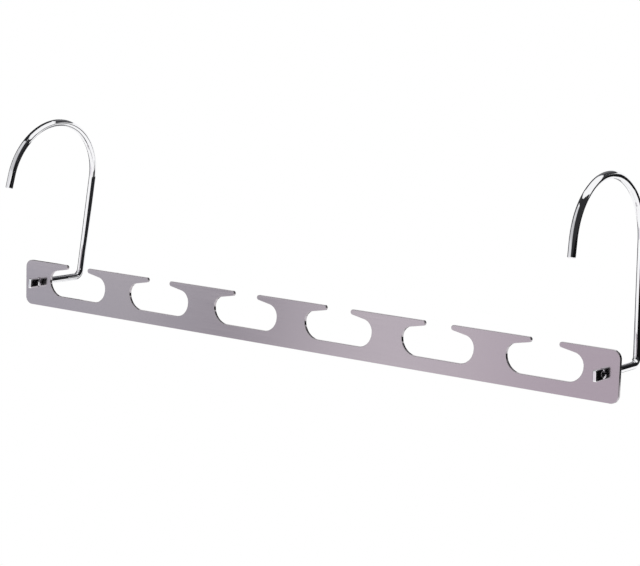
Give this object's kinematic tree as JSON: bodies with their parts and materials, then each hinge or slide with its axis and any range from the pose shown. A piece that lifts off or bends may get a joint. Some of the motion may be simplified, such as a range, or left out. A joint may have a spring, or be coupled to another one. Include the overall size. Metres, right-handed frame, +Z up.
{
  "type": "cascading hanger",
  "caption": "Cascading clothes hanger: a flat steel bar with round-ended slots, each open at the top through a narrow mouth, carried by a free-swinging wire hook at each end.",
  "frame": {"origin": "Underside of the hook crowns, where they sit on a closet rod, midway between the two hooks", "axes": "+X along the bar, -Y the front with the wire ends and hook tips, +Z up"},
  "size_m": [0.36, 0.0658, 0.1009],
  "materials": {
    "satin_steel": "polished to a soft satin",
    "chrome_wire": "bright chrome plate"
  },
  "bodies": {
    "bar": {"slotted_bar": "satin_steel"},
    "left_hook": {"left_hook": "chrome_wire"},
    "right_hook": {"right_hook": "chrome_wire"}
  },
  "joints": [
    {"name": "left_hook_swivel", "type": "hinge", "parent": "bar", "child": "left_hook", "pos_m": [-0.1712, -0.00216, -0.08443], "axis": [0, 1, 0], "range_deg": [-267.4, 84.7]},
    {"name": "right_hook_swivel", "type": "hinge", "parent": "bar", "child": "right_hook", "pos_m": [0.1712, -0.00216, -0.08443], "axis": [0, -1, 0], "range_deg": [-261.8, 90.3]}
  ]
}
